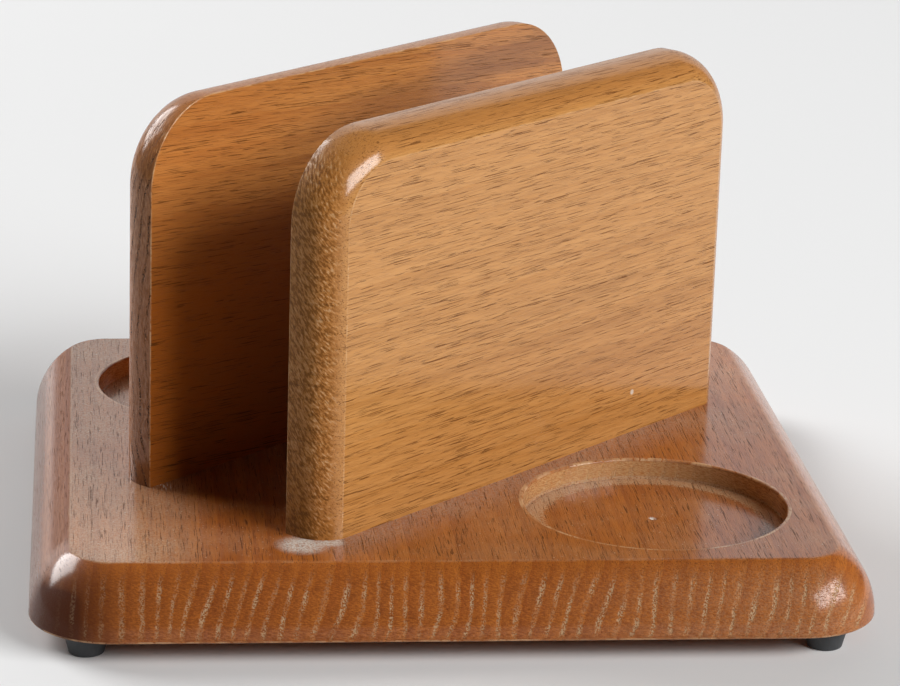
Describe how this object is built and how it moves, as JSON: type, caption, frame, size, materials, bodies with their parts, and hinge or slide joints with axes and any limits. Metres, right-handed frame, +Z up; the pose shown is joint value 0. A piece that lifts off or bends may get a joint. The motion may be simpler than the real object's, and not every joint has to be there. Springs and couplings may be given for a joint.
{
  "type": "napkin holder",
  "caption": "Oak napkin holder: two upright plates set diagonally on a rounded base board with round shaker wells and rubber feet.",
  "frame": {"origin": "on the table, under the middle of the base board", "axes": "+X to the right along the base's longer side, +Y to the back, +Z up; the plates run from front left to rear right"},
  "size_m": [0.198, 0.1906, 0.1167],
  "materials": {
    "oak_base": "stained oak, satin varnish, orange brown",
    "oak_front_plate": "stained oak, satin varnish, honey brown",
    "oak_rear_plate": "stained oak, satin varnish, reddish brown",
    "black_rubber": "matt moulded rubber",
    "zinc_steel": "zinc plated"
  },
  "bodies": {
    "root": {"base_board": "oak_base", "front_plate": "oak_front_plate", "rear_plate": "oak_rear_plate", "foot_front_left": "black_rubber", "foot_front_right": "black_rubber", "foot_rear_left": "black_rubber", "foot_rear_right": "black_rubber", "foot_washer_front_left": "zinc_steel", "foot_washer_front_right": "zinc_steel", "foot_washer_rear_left": "zinc_steel", "foot_washer_rear_right": "zinc_steel", "foot_screw_front_left": "zinc_steel", "foot_screw_front_right": "zinc_steel", "foot_screw_rear_left": "zinc_steel", "foot_screw_rear_right": "zinc_steel", "front_plate_screw_left": "zinc_steel", "front_plate_screw_right": "zinc_steel", "rear_plate_screw_left": "zinc_steel", "rear_plate_screw_right": "zinc_steel"}
  },
  "joints": []
}
